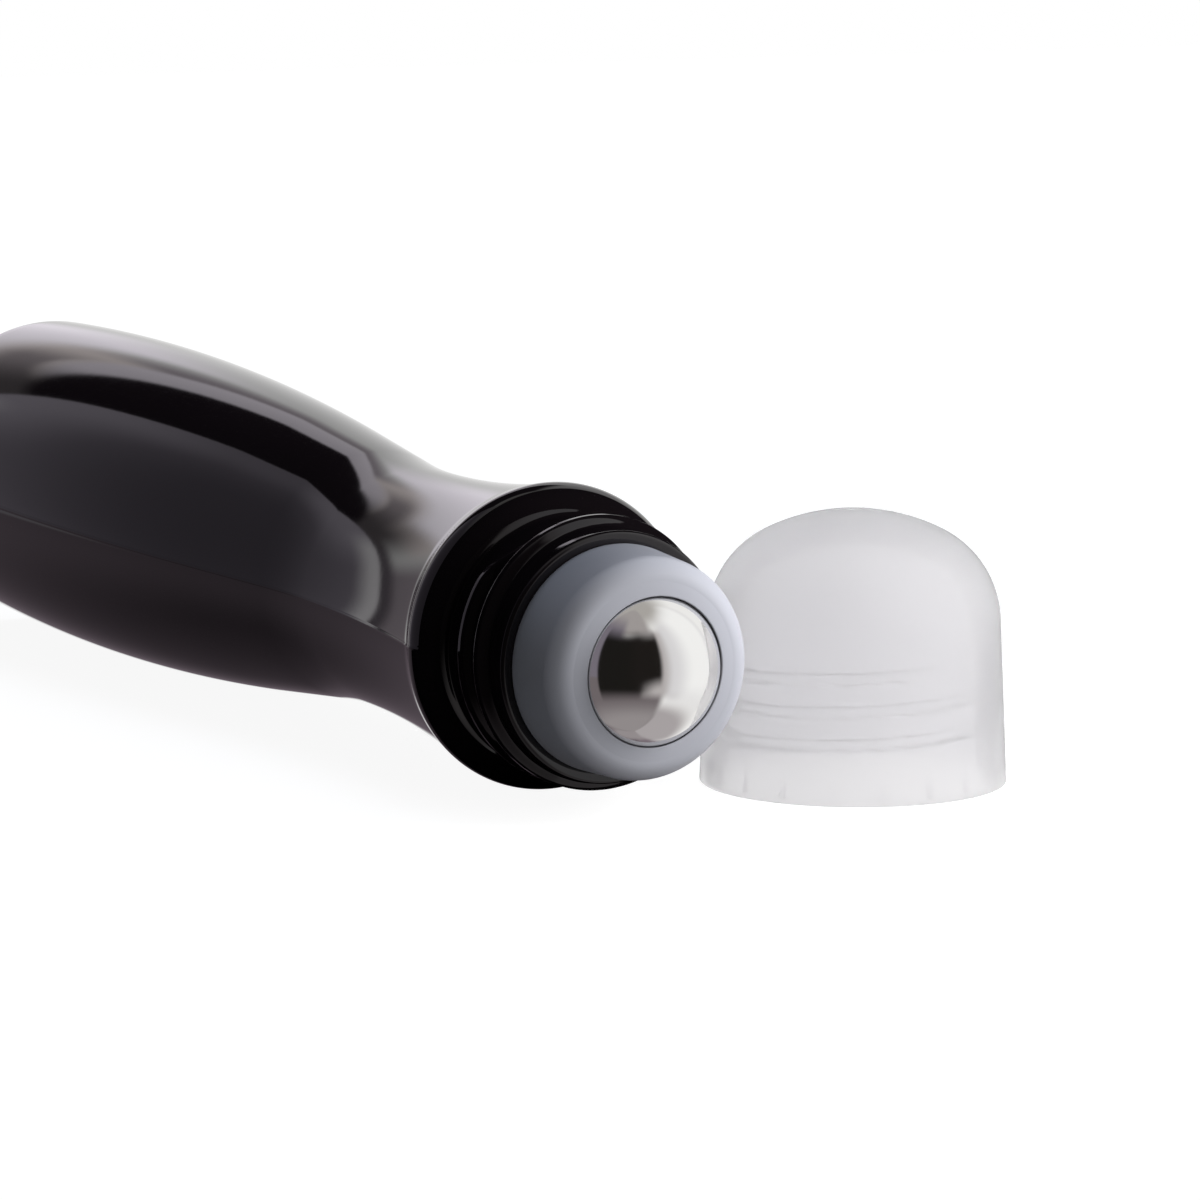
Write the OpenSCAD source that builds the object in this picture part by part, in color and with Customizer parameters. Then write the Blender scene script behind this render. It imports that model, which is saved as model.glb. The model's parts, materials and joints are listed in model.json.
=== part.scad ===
// Roll-on bottle lying on its side, as it is left when the cap has been taken off.
// It rests on the fullest part of its body and on its collar, so its neck points a little down.
// The screw cap stands on its open end beside the neck.
// The origin is the middle of the footprint, on the surface that everything stands on.

/* [Body] */
// Radius at the fullest part of the body
belly_r = 17.4; // [16:0.1:20]
// Distance from the base up to the fullest part
belly_up = 24; // [18:1:36]
// Distance from the rim of the neck back to the fullest part
belly_back = 114; // [100:1:130]
// Radius at the waist, where the hand holds the bottle
waist_r = 12.35; // [11.6:0.05:13.5]
// Distance from the rim of the neck back to the waist
waist_back = 41.5; // [36:0.5:52]
// Share of the largest curves that fit between the belly and the waist
curve_share = 0.965; // [0.7:0.005:1]
// Share of those curves that the belly takes
belly_share = 0.84; // [0.5:0.01:0.9]
// Thickness of the moulded wall of the body
body_wall = 1.2; // [0.8:0.1:1.5]

/* [Base] */
// Radius of the rounding between the side and the base
base_corner_r = 3.5; // [2.5:0.25:5]
// Width of the flat ring that the bottle stands on when it is upright
base_ring_w = 2.8; // [1.5:0.1:4]
// Depth of the hollow inside the ring
base_hollow_h = 1.4; // [0.6:0.1:2]
// Thickness of the base
base_wall = 1.6; // [1.3:0.1:2.2]

/* [Ball] */
// Radius of the ball
ball_r = 8; // [7:0.1:9]
// Running gap between the ball and its socket
ball_gap = 0.08; // [0.05:0.01:0.1]

/* [Ball housing] */
// Thickness of the housing round the ball, at its foot
housing_wall = 2.87; // [2.4:0.01:3.4]
// Height of the housing over the rim
housing_h = 7.85; // [7:0.05:9]
// Amount by which the housing narrows up to its shoulder
housing_draft = 0.3; // [0:0.05:0.5]
// Radius of the housing's round shoulder
shoulder_r = 2.2; // [1.4:0.1:2.4]
// Rise of the front face from the shoulder to the lip
face_rise = 0.3; // [0:0.05:0.6]
// Amount by which the lip closes in over the ball
lip_hold = 0.8; // [0.6:0.05:1.2]
// Width of the round lip
lip_w = 0.5; // [0.3:0.05:0.7]
// Width of the housing's seat on the rim, beyond the bore
seat_w = 0.85; // [0.6:0.05:1.1]
// Length of the plug that is pressed into the bore
plug_len = 8.6; // [7.6:0.1:10]
// Gap between the plug and the bore
plug_gap = 0.1; // [0.05:0.01:0.2]
// Width of the bevel at the foot of the plug
plug_bevel = 0.4; // [0.2:0.1:0.6]
// Thickness of the plug's skirt
plug_wall = 1; // [0.8:0.05:1.4]
// Thickness of the cup under the ball
cup_wall = 1; // [0.7:0.05:1.4]
// Amount by which each sealing ring is larger than the bore
seal_grip = 0.04; // [0.02:0.01:0.06]
// Width of each sealing ring
seal_w = 0.6; // [0.4:0.1:0.9]
// Number of sealing rings
seal_count = 3; // [1:1:3]
// Distance from one sealing ring to the next
seal_pitch = 2.2; // [1.4:0.1:2.4]
// Radius of the feed hole in the middle of the cup
feed_r = 2.6; // [1.8:0.1:3]
// Radius of each feed slot round the middle
slot_r = 0.7; // [0.5:0.05:0.9]
// Number of feed slots
slot_count = 4; // [3:1:6]

/* [Neck] */
// Thickness of the wall of the neck, between the threads
neck_wall = 2; // [1.6:0.1:2.4]
// Radius of the rounded outer edge of the rim
rim_edge_r = 0.5; // [0.3:0.1:0.9]
// Width of the bevel that leads the housing into the bore
rim_bevel = 0.3; // [0.1:0.1:0.5]

/* [Thread] */
// Advance of the thread in one turn
thread_pitch = 3.175; // [2.5:0.025:4]
// Height of the thread over the neck
thread_h = 1; // [0.6:0.05:1.2]
// Width of the thread where it meets the neck
thread_foot_w = 1.9; // [1.4:0.1:2.2]
// Width of the thread along its crest
thread_crest_w = 0.8; // [0.5:0.1:1.2]
// Number of turns on the neck
neck_turns = 1.6; // [1:0.1:2]
// Distance from the rim back to the thread's last point
thread_end_back = 2; // [1.5:0.1:3]
// Angle at which the thread on the neck begins
thread_start = 213; // [0:1:359]
// Gap between the thread of the neck and the inside of the cap
thread_gap = 0.3; // [0.2:0.05:0.4]

/* [Collar] */
// Distance from the rim of the neck back to the widest part of the collar
collar_back = 13; // [12:0.1:15]
// Radius of the collar's round profile
collar_bead_r = 3; // [2.4:0.1:3.4]
// Height of the collar over the end of the body's flare
collar_step = 0.3; // [0.1:0.05:0.8]
// Radius of the small hollow between the collar and the neck
collar_cove_r = 0.5; // [0.3:0.1:0.9]

/* [Cap] */
// Thickness of the cap's wall round the thread, at its open end
skirt_wall = 1.55; // [1.4:0.05:2.4]
// Amount by which the cap narrows up to its shoulder
cap_draft = 0.7; // [0.3:0.05:0.9]
// Gap over the ball when the cap is on
dome_gap = 2.05; // [1.5:0.05:5]
// Radius of the cap's shoulder
cap_knuckle_r = 10; // [8:0.05:11]
// Radius of the crown of the dome
cap_crown_r = 19.5; // [17:0.5:28]
// Thickness of the dome
cap_wall = 1.6; // [1.3:0.05:1.8]
// Depth of the wider mouth inside the open end
mouth_h = 2; // [1.5:0.1:3]
// Thickness of the wall round the wider mouth
mouth_wall = 0.8; // [0.6:0.05:1.1]
// Distance from the open end to the first point of the thread inside
cap_thread_up = 5; // [4:0.1:6]
// Number of turns inside the cap
cap_turns = 2.3; // [1:0.1:2.5]
// Number of short ribs round the mouth
rib_count = 18; // [6:1:24]
// Width of each short rib
rib_w = 0.4; // [0.3:0.05:0.8]
// Height of each short rib
rib_h = 1.6; // [0.8:0.1:2]
// Depth of each short rib
rib_d = 0.5; // [0.3:0.05:0.6]
// Gap between the standing cap and the widest parts of the neck
stand_gap = 0.35; // [0.3:0.05:10]
// Distance by which the standing cap is ahead of the place where it would meet the collar
cap_ahead = 2.3; // [0:0.1:10]

/* [Hidden] */

// Amount by which a cut runs past a face, and a ridge into its wall
overrun = 0.3;
// Facets of one full turn
$fn = 96;
// Sections of one full turn of thread
turn_steps = 24;
// Steps of a short arc and of a long one in an outline
short_steps = 6;
long_steps = 14;
// Angle over which a thread rises at each end, and the share of its height it starts with
run_in = 20;
end_share = 0.15;

// Points of an arc round a centre, from one angle to another
function arc(centre, r, from, to, steps) =
    [for (i = [0 : steps]) let (a = from + (to - from) * i / steps) centre + r * [cos(a), sin(a)]];

// A list of points in the opposite order
function backwards(points) = [for (i = [len(points) - 1 : -1 : 0]) points[i]];

// Radii that follow from the ball outwards: socket, housing, bore, neck, thread, cap and collar
socket_r = ball_r + ball_gap;
housing_r = socket_r + housing_wall;
neck_bore_r = housing_r - seat_w;
neck_r = neck_bore_r + neck_wall;
thread_r = neck_r + thread_h;
skirt_bore_r = thread_r + thread_gap;
cap_rim_r = skirt_bore_r + skirt_wall;
collar_r = cap_rim_r;

// Heights on the bottle, whose own axis stands on Z with the base at zero
rim_z = belly_up + belly_back;
waist_z = rim_z - waist_back;
collar_z = rim_z - collar_back;
thread_start_z = rim_z - thread_end_back - neck_turns * thread_pitch;

// Curves of the belly and of the waist, and the slope where they meet
body_drop = belly_r - waist_r;
body_run = waist_z - belly_up;
curve_sum = curve_share * (pow(body_run, 2) + pow(body_drop, 2)) / (2 * body_drop);
belly_curve_r = belly_share * curve_sum;
waist_curve_r = curve_sum - belly_curve_r;
body_slope = atan2(body_run, curve_sum - body_drop)
    - acos(curve_sum / norm([curve_sum - body_drop, body_run]));

// Angles at which the collar's profile comes out of the flare and runs into the small hollow
collar_from = -acos(1 - collar_step / collar_bead_r);
collar_to = acos((neck_r + collar_cove_r - collar_r + collar_bead_r) / (collar_bead_r + collar_cove_r));
cove_z = collar_z + (collar_bead_r + collar_cove_r) * sin(collar_to);

// Hollow curve of the flare from the waist up to the collar
flare_run = collar_z + collar_bead_r * sin(collar_from) - waist_z;
flare_rise = collar_r - collar_step - waist_r;
flare_curve_r = (pow(flare_run, 2) + pow(flare_rise, 2)) / (2 * flare_rise);
flare_angle = asin(flare_run / flare_curve_r);
flare_inside_angle = asin((flare_run - collar_step) / (flare_curve_r + body_wall));

// Centre of the base's corner, which touches the belly's curve from inside
base_reach = sqrt(pow(belly_curve_r - base_corner_r, 2) - pow(belly_up - base_corner_r, 2));
base_corner_x = belly_r - belly_curve_r + base_reach;
base_angle = atan2(belly_up - base_corner_r, base_reach);
// Angle at which the inside of the corner leaves the floor of the bottle
inside_angle = asin((base_corner_r - base_wall) / (base_corner_r - body_wall));

// Sphere that hollows the base
base_hollow_r = base_corner_x - base_ring_w;
hollow_r = (pow(base_hollow_r, 2) + pow(base_hollow_h, 2)) / (2 * base_hollow_h);
hollow_angle = asin(base_hollow_r / hollow_r);

// Tilt of the lying bottle, from the line that touches its belly and its collar
rest_run = collar_z - belly_up;
rest_rise = belly_r - belly_curve_r - collar_r + collar_bead_r;
tilt = atan2(rest_rise, rest_run) + asin((belly_curve_r - collar_bead_r) / norm([rest_run, rest_rise]));
// Height of the middle of the rim over the surface
rim_up = collar_bead_r - collar_back * sin(tilt) + (collar_r - collar_bead_r) * cos(tilt);

// Lip and ball, measured up from the rim
lip_r = ball_r - lip_hold;
ball_up = housing_h - lip_w / 2 - sqrt(pow(socket_r, 2) - pow(lip_r, 2));
cup_r = socket_r + cup_wall;

// Plug and shoulder of the housing
plug_r = neck_bore_r - plug_gap;
plug_inside_r = plug_r - plug_wall;
shoulder_x = housing_r - housing_draft - shoulder_r;
shoulder_z = housing_h - face_rise - shoulder_r;
slot_x = (feed_r + plug_inside_r) / 2 - slot_r;

// Distance from the rim back to where the open end of the cap meets the collar when the cap is on
cap_seat = collar_back - collar_bead_r * sin(acos(1 - mouth_wall / collar_bead_r));

// Cap, measured up from its open end
cap_shoulder_r = cap_rim_r - cap_draft;
cap_h = cap_seat + ball_up + ball_r + dome_gap + cap_wall;
mouth_r = cap_rim_r - mouth_wall;
skirt_h = cap_thread_up + cap_turns * thread_pitch + thread_foot_w / 2;

// Place of the cap beside the neck, clear of the thread and of the collar
cap_y = thread_r + cap_rim_r + stand_gap;
collar_room = pow(cap_rim_r + stand_gap, 2) - pow(cap_y - collar_r, 2);
cap_x = sqrt(collar_room) + cap_ahead - collar_back * cos(tilt);

// Footprint of everything, measured from the middle of the rim
foot_from_x = (base_corner_r - rim_z) * cos(tilt) - base_corner_x * abs(sin(tilt)) - base_corner_r;
foot_to_x = max(ball_up * cos(tilt) + ball_r, cap_x + cap_rim_r);
foot_from_y = -max(belly_r, collar_r);
foot_to_y = cap_y + cap_rim_r;
foot_mid = [(foot_from_x + foot_to_x) / 2, (foot_from_y + foot_to_y) / 2];

// Puts what stands on the bottle's own axis where the bottle lies
module lie() {
    translate([-foot_mid[0], -foot_mid[1], rim_up])
    rotate([0, 90 + tilt, 0])
    translate([0, 0, -rim_z])
    children();
}

// Puts what is measured from the rim onto the lying bottle
module on_rim() {
    lie()
    translate([0, 0, rim_z])
    children();
}

// Half outline of the bottle's outside, from the middle of the base to the rim
function bottle_outside() = concat(
    arc([0, base_hollow_h - hollow_r], hollow_r, 90, 90 - hollow_angle, long_steps),
    arc([base_corner_x, base_corner_r], base_corner_r, -90, -base_angle, short_steps),
    arc([belly_r - belly_curve_r, belly_up], belly_curve_r, -base_angle, body_slope, 2 * long_steps),
    arc([waist_r + waist_curve_r, waist_z], waist_curve_r, 180 + body_slope, 180, long_steps),
    arc([waist_r + flare_curve_r, waist_z], flare_curve_r, 180, 180 - flare_angle, long_steps),
    arc([collar_r - collar_bead_r, collar_z], collar_bead_r, collar_from, collar_to, long_steps),
    arc([neck_r + collar_cove_r, cove_z], collar_cove_r, 180 + collar_to, 180, short_steps),
    arc([neck_r - rim_edge_r, rim_z - rim_edge_r], rim_edge_r, 0, 90, short_steps));

// Half outline of the bottle's inside, from the middle of the base to the rim
function bottle_inside() = concat(
    arc([0, base_hollow_h - hollow_r + base_wall], hollow_r, 90, 90 - hollow_angle, long_steps),
    arc([base_corner_x, base_corner_r], base_corner_r - body_wall, -inside_angle, -base_angle,
        short_steps),
    arc([belly_r - belly_curve_r, belly_up], belly_curve_r - body_wall, -base_angle, body_slope,
        2 * long_steps),
    arc([waist_r + waist_curve_r, waist_z], waist_curve_r + body_wall, 180 + body_slope, 180, long_steps),
    arc([waist_r + flare_curve_r, waist_z], flare_curve_r + body_wall, 180, 180 - flare_inside_angle,
        long_steps),
    [[neck_bore_r, collar_z],
     [neck_bore_r, rim_z - rim_bevel],
     [neck_bore_r + rim_bevel, rim_z]]);

// One section of a thread ridge, as radius and height, with its points in turning order
function ridge_section(foot_r, crest_r) = foot_r < crest_r
    ? [[foot_r, -thread_foot_w / 2], [crest_r, -thread_crest_w / 2],
       [crest_r, thread_crest_w / 2], [foot_r, thread_foot_w / 2]]
    : [[crest_r, -thread_crest_w / 2], [foot_r, -thread_foot_w / 2],
       [foot_r, thread_foot_w / 2], [crest_r, thread_crest_w / 2]];

// Share of the full height that a thread has at an angle along it
function rise_share(along, whole) = min(1, end_share + min(along, whole - along) / run_in);

// Right-handed thread ridge from a wall to a crest, rising from its first point
module ridge(wall_r, crest_r, turns, start) {
    whole = turns * 360;
    steps = ceil(turns * turn_steps);
    foot_r = wall_r + (crest_r > wall_r ? -overrun : overrun);
    points = [for (i = [0 : steps]) let (along = whole * i / steps)
        for (p = ridge_section(foot_r, wall_r + (crest_r - wall_r) * rise_share(along, whole)))
            [p[0] * cos(start + along), p[0] * sin(start + along), p[1] + thread_pitch * along / 360]];
    sides = [for (i = [0 : steps - 1]) for (j = [0 : 3]) let (
            a = 4 * i + j,
            b = 4 * i + (j + 1) % 4)
        each [[a, b, a + 4], [b, b + 4, a + 4]]];
    last = 4 * steps;
    ends = [[2, 1, 0], [3, 2, 0], [last, last + 1, last + 2], [last, last + 2, last + 3]];
    polyhedron(points, concat(ends, sides));
}

// Blow-moulded bottle with its collar and threaded neck
module bottle() {
    color("#1c171b")
    lie()
    union() {
        rotate_extrude()
        polygon(concat(bottle_outside(), backwards(bottle_inside())));
        translate([0, 0, thread_start_z])
        ridge(neck_r, thread_r, neck_turns, thread_start);
    }
}

// Half outline of the housing's outside, from the foot of the plug to the lip
function housing_outside() = concat(
    [[0, -plug_len],
     [plug_r - plug_bevel, -plug_len],
     [plug_r, -plug_len + plug_bevel],
     [plug_r, 0],
     [housing_r, 0]],
    arc([shoulder_x, shoulder_z], shoulder_r, 0, 90, long_steps),
    arc([lip_r + lip_w / 2, housing_h - lip_w / 2], lip_w / 2, 90, 180, short_steps),
    [[0, housing_h - lip_w / 2]]);

// Housing that is pressed into the neck and holds the ball
module ball_housing() {
    color("#9a9ca6")
    on_rim()
    difference() {
        union() {
            rotate_extrude()
            polygon(housing_outside());
            sealing_rings();
        }
        translate([0, 0, ball_up])
        sphere(r = socket_r);
        under_cup();
        feed_holes();
    }
}

// Rings round the plug that grip the bore
module sealing_rings() {
    for (i = [0 : seal_count - 1])
        translate([0, 0, (i - (seal_count - 1) / 2) * seal_pitch - (plug_len + seal_w) / 2])
        cylinder(r = neck_bore_r + seal_grip, h = seal_w);
}

// Room inside the plug's skirt, under the rounded cup
module under_cup() {
    difference() {
        translate([0, 0, -plug_len - overrun])
        cylinder(r = plug_inside_r, h = plug_len + overrun - cup_wall);
        translate([0, 0, ball_up])
        sphere(r = cup_r);
    }
}

// Holes that let the liquid through the cup to the ball
module feed_holes() {
    translate([0, 0, -plug_len - overrun])
    cylinder(r = feed_r, h = plug_len + ball_up);
    for (i = [0 : slot_count - 1])
        rotate([0, 0, 360 * i / slot_count])
        translate([slot_x, 0, -plug_len - overrun])
        cylinder(r = slot_r, h = plug_len + ball_up);
}

// Polished ball
module roller_ball() {
    color("#c9c7c5")
    on_rim()
    translate([0, 0, ball_up])
    sphere(r = ball_r);
}

// Half outline of a dome: a side that narrows, a round shoulder and a flatter crown, which all touch
function dome(foot, side_r, top_h, knuckle_r, crown_r) = let (
        knuckle_x = side_r - knuckle_r,
        crown_z = top_h - crown_r,
        knuckle_z = crown_z + sqrt(pow(crown_r - knuckle_r, 2) - pow(knuckle_x, 2)),
        reach = [foot[0] - knuckle_x, knuckle_z - foot[1]],
        from = atan2(reach[0], reach[1]) - asin(knuckle_r / norm(reach)),
        join = atan2(knuckle_z - crown_z, knuckle_x)
    ) concat([foot],
        arc([knuckle_x, knuckle_z], knuckle_r, from, join, long_steps),
        arc([0, crown_z], crown_r, join + (90 - join) / long_steps, 90, long_steps - 1));

// Half outline of the cap's inside, from its mouth to the middle of the dome
function cap_inside() = concat(
    [[mouth_r, 0],
     [mouth_r, mouth_h],
     [skirt_bore_r, mouth_h]],
    dome([skirt_bore_r, skirt_h], cap_shoulder_r - cap_wall, cap_h - cap_wall,
        cap_knuckle_r - cap_wall, cap_crown_r - cap_wall));

// Translucent screw cap, standing on its open end
module cap() {
    color("#dcdce2")
    translate([cap_x - foot_mid[0], cap_y - foot_mid[1], 0])
    union() {
        rotate_extrude()
        polygon(concat(
            dome([cap_rim_r, 0], cap_shoulder_r, cap_h, cap_knuckle_r, cap_crown_r),
            backwards(cap_inside())));
        translate([0, 0, cap_thread_up])
        ridge(skirt_bore_r, neck_r + thread_gap, cap_turns, 0);
        mouth_ribs();
    }
}

// Short upright ribs round the inside of the mouth
module mouth_ribs() {
    for (i = [0 : rib_count - 1])
        rotate([0, 0, 360 * i / rib_count])
        translate([mouth_r - rib_d, -rib_w / 2, mouth_h - rib_h])
        cube([rib_d + overrun, rib_w, rib_h]);
}

bottle();
ball_housing();
roller_ball();
cap();
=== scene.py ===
"""Roll-on bottle that lies on its side with its cap off, dressed and lit as in a studio.

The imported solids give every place. The bottle, the ball housing, the ball and the cap are
turned again here as finer meshes on those places, with the marks that moulding leaves.
Lengths are in millimetres until a mesh is put in its place.
"""

import json
import logging
import math
from collections.abc import Sequence
from dataclasses import astuple, dataclass, field
from enum import Enum
from typing import Any, ClassVar

import bpy
from bpy.types import Material, Mesh, Node, NodeSocket, NodeTree, Object, World
from mathutils import Matrix, Vector


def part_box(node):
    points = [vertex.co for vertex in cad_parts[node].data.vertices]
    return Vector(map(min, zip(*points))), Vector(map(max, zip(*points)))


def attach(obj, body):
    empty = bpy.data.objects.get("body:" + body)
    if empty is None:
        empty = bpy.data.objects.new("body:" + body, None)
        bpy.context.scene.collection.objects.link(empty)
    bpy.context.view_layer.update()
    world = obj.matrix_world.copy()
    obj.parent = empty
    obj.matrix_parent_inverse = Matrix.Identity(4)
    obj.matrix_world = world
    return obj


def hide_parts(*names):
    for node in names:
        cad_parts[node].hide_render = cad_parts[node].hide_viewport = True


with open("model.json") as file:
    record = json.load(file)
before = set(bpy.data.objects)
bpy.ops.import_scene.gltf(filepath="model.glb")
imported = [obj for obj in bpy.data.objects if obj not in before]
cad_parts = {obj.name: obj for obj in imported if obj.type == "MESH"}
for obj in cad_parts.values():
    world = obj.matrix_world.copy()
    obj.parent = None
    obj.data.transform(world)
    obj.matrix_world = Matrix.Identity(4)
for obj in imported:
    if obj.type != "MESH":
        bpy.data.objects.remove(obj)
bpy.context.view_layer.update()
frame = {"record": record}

MM = 0.001
ON_AXIS = 1e-6
LOG = logging.getLogger("roll_on_bottle")

Point = tuple[float, float]
Colour = tuple[float, float, float]
Span = tuple[float, float, float, float]
Mark = tuple[NodeTree, dict[str, float]]


class Body(Enum):
    """Bodies that a piece can ride on."""

    BOTTLE = "bottle"
    BALL = "ball"
    CAP = "cap"


class Slot(Enum):
    """Material slots of the record."""

    BOTTLE = "bottle_gloss"
    HOUSING = "housing_grey"
    BALL = "ball_steel"
    CAP = "cap_frosted"


class Shape(Enum):
    """How a mesh boolean joins its two meshes."""

    UNION = "UNION"
    DIFFERENCE = "DIFFERENCE"


# Outlines


def arc(centre: Point, radius: float, start: float, end: float, steps: int) -> list[Point]:
    """Points of an arc in the plane of an outline.

    Args:
        centre: Radius and height of the arc's centre.
        radius: Radius of the arc.
        start: First angle in degrees, from the direction of growing radius.
        end: Last angle in degrees.
        steps: Number of chords.

    Returns:
        The points from the first angle to the last.
    """
    turns = (math.radians(start + (end - start) * i / steps) for i in range(steps + 1))
    return [(centre[0] + radius * math.cos(a), centre[1] + radius * math.sin(a)) for a in turns]


def straight(start: Point, end: Point, step: float) -> list[Point]:
    """Points along a straight stretch, with both ends.

    Args:
        start: First point.
        end: Last point.
        step: Largest distance between two points.

    Returns:
        The points from the first to the last.
    """
    count = max(1, math.ceil(math.dist(start, end) / step))
    across, up = end[0] - start[0], end[1] - start[1]
    return [(start[0] + across * i / count, start[1] + up * i / count) for i in range(count + 1)]


def without_doubles(points: Sequence[Point], nearest: float = 1e-4) -> list[Point]:
    """The points of an outline without those that repeat the one before.

    Args:
        points: Points in order.
        nearest: Distance under which two points are the same.

    Returns:
        The points that stay.
    """
    kept: list[Point] = []
    for point in points:
        if not kept or math.dist(kept[-1], point) > nearest:
            kept.append(point)
    return kept


def dome(foot: Point, side: float, top: float, knuckle: float, crown: float) -> list[Point]:
    """Half outline of a dome, from its foot to its middle.

    Args:
        foot: Radius and height of the foot.
        side: Radius that the side reaches at the shoulder.
        top: Height of the top.
        knuckle: Radius of the round shoulder.
        crown: Radius of the flatter crown.

    Returns:
        The points of the side, the shoulder and the crown, which all touch.
    """
    across = side - knuckle
    crown_z = top - crown
    up = crown_z + math.sqrt((crown - knuckle) ** 2 - across**2)
    reach = (foot[0] - across, up - foot[1])
    start = math.degrees(math.atan2(reach[0], reach[1]) - math.asin(knuckle / math.hypot(*reach)))
    join = math.degrees(math.atan2(up - crown_z, across))
    shoulder = arc((across, up), knuckle, start, join, steps=28)
    skirt = straight(foot, shoulder[0], step=0.6)
    return without_doubles(skirt + shoulder + arc((0, crown_z), crown, join, 90, steps=24))


# Meshes


def even_angles(count: int) -> list[float]:
    """Angles in degrees that divide a turn evenly."""
    return [360 * i / count for i in range(count)]


def turned_mesh(name: str, outline: Sequence[Point], angles: Sequence[float], closed: bool) -> Mesh:
    """Turns an outline round the Z axis into a closed skin.

    Args:
        name: Name of the mesh.
        outline: Radii and heights in the order that puts the solid on the left.
        angles: Angles in degrees, rising round one turn.
        closed: True if the outline's last point joins its first, and False if both lie on the axis.

    Returns:
        The mesh, with its faces pointing outwards.
    """
    rings: list[list[int]] = []
    corners: list[tuple[float, float, float]] = []
    for radius, height in outline:
        if radius < ON_AXIS:
            rings.append([len(corners)] * len(angles))
            corners.append((0.0, 0.0, height))
            continue
        rings.append(list(range(len(corners), len(corners) + len(angles))))
        for turn in map(math.radians, angles):
            corners.append((radius * math.cos(turn), radius * math.sin(turn), height))
    faces: list[tuple[int, ...]] = []
    for low, high in zip(rings, rings[1:] + rings[:1] if closed else rings[1:]):
        for i in range(len(angles)):
            j = (i + 1) % len(angles)
            face = dict.fromkeys((low[i], low[j], high[j], high[i]))
            if len(face) > 2:
                faces.append(tuple(face))
    mesh = bpy.data.meshes.new(name)
    mesh.from_pydata(corners, [], faces)
    mesh.validate()
    mesh.update()
    return mesh


def new_object(name: str, data: Any) -> Object:
    """Links a new object into the scene.

    Args:
        name: Name of the object.
        data: Its mesh, lamp or camera.

    Returns:
        The object.
    """
    thing = bpy.data.objects.new(name, data)
    bpy.context.scene.collection.objects.link(thing)
    return thing


def put_in_place(piece: Object, place: Matrix, sharp_degrees: float) -> None:
    """Moves a piece's mesh from its own millimetres to the row frame and smooths its faces.

    Args:
        piece: Object at the origin, whose mesh still lies on the Z axis.
        place: Matrix from millimetres on the piece's own axis to metres in the row frame.
        sharp_degrees: Angle between two faces from which their edge stays sharp.
    """
    piece.data.transform(place)
    piece.data.shade_smooth()
    piece.data.set_sharp_from_angle(angle=math.radians(sharp_degrees))
    piece.data.update()


# Node trees


def new_tree(name: str, kind: str, inputs: dict[str, str], outputs: dict[str, str]) -> NodeTree:
    """Starts a node group.

    Args:
        name: Name of the group.
        kind: Type of its tree.
        inputs: Kinds of its input sockets, by name.
        outputs: Kinds of its output sockets, by name.

    Returns:
        The group's tree, with its sockets and no nodes.
    """
    tree = bpy.data.node_groups.new(name, kind)
    for way, sockets in (("INPUT", inputs), ("OUTPUT", outputs)):
        for label, socket in sockets.items():
            tree.interface.new_socket(name=label, in_out=way, socket_type=f"NodeSocket{socket}")
    return tree


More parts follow.
